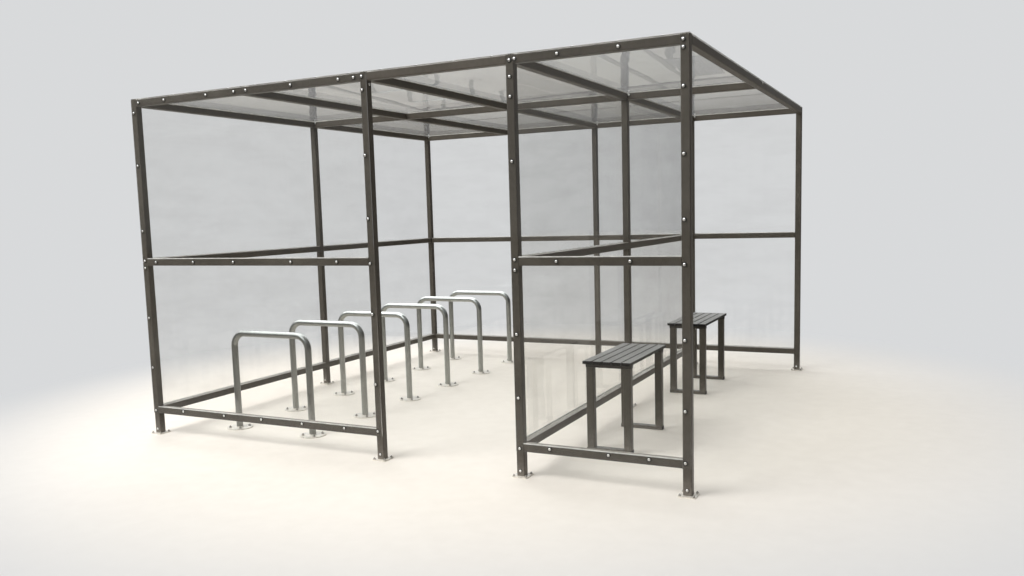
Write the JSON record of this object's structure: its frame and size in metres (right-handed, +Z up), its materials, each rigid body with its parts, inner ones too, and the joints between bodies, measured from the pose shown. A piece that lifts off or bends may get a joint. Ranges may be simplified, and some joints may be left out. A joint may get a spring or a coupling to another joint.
{
  "type": "bike shelter with seating bay",
  "caption": "Open-frame shelter of painted box section with clear sheet walls and flat roof: a bike bay with hoops beside a seating bay with slatted benches.",
  "frame": {"origin": "on the ground at the middle of the plan", "axes": "+X to the right along the front, +Y from the front to the rear, +Z up"},
  "size_m": [4.1, 4.1, 2.45],
  "materials": {
    "frame_paint": "satin",
    "galvanised": "dull",
    "clear_sheet": "glossy",
    "bench_paint": "satin",
    "bench_slat": "satin"
  },
  "bodies": {
    "root": {"post_front_left": "frame_paint", "post_front_middle": "frame_paint", "post_partition_front": "frame_paint", "post_front_right": "frame_paint", "post_left_middle": "frame_paint", "post_partition_middle": "frame_paint", "post_rear_left": "frame_paint", "post_rear_middle": "frame_paint", "post_partition_rear": "frame_paint", "post_rear_right": "frame_paint", "top_rail_front": "frame_paint", "top_rail_rear": "frame_paint", "top_rail_left": "frame_paint", "top_rail_right": "frame_paint", "roof_rafters": "frame_paint", "rafter_partition": "frame_paint", "roof_purlin": "frame_paint", "mid_rail_front": "frame_paint", "mid_rail_rear": "frame_paint", "mid_rail_left": "frame_paint", "mid_rail_partition": "frame_paint", "bottom_rail_front": "frame_paint", "bottom_rail_rear": "frame_paint", "bottom_rail_left": "frame_paint", "bottom_rail_partition": "frame_paint", "foot_plates": "galvanised", "foot_spigots": "galvanised", "bike_hoop_1": "galvanised", "bike_hoop_2": "galvanised", "bike_hoop_3": "galvanised", "bike_hoop_4": "galvanised", "bike_hoop_5": "galvanised", "bike_hoop_6": "galvanised", "sheets_front_left": "clear_sheet", "sheets_front_right": "clear_sheet", "sheets_rear": "clear_sheet", "sheets_left": "clear_sheet", "sheets_partition": "clear_sheet", "sheets_roof": "clear_sheet", "front_bench_legs": "bench_paint", "front_bench_bars": "bench_paint", "front_bench_slats": "bench_slat", "rear_bench_legs": "bench_paint", "rear_bench_bars": "bench_paint", "rear_bench_slats": "bench_slat"}
  },
  "joints": []
}
